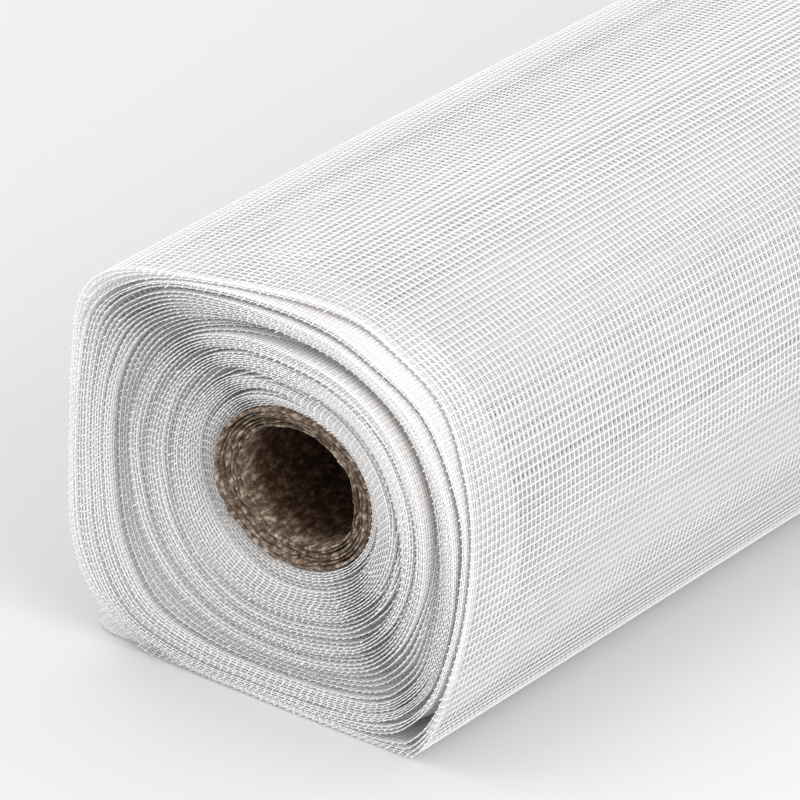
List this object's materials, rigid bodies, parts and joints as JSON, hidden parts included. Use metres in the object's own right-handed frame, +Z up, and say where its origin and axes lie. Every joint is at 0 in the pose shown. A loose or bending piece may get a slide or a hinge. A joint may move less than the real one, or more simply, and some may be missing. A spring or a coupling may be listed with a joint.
{
  "type": "roll of insect netting",
  "caption": "Loosely wound roll of fine woven insect netting on a brown paper core, sagged to a rounded square, with its loose end lying along one side.",
  "frame": {"origin": "on the surface the roll lies on, under the middle of the part's box", "axes": "+Y along the roll's axis away from the end with the uneven turns, +Z up, +X to the right as seen from that end"},
  "size_m": [0.1092, 0.605, 0.1],
  "materials": {
    "netting": "white plastic monofilament in open plain weave, faint sheen",
    "paper_core": "rough unbleached paper with torn ply edges"
  },
  "bodies": {
    "root": {"net_roll": "netting", "loose_end": "netting", "core_tube": "paper_core"}
  },
  "joints": []
}
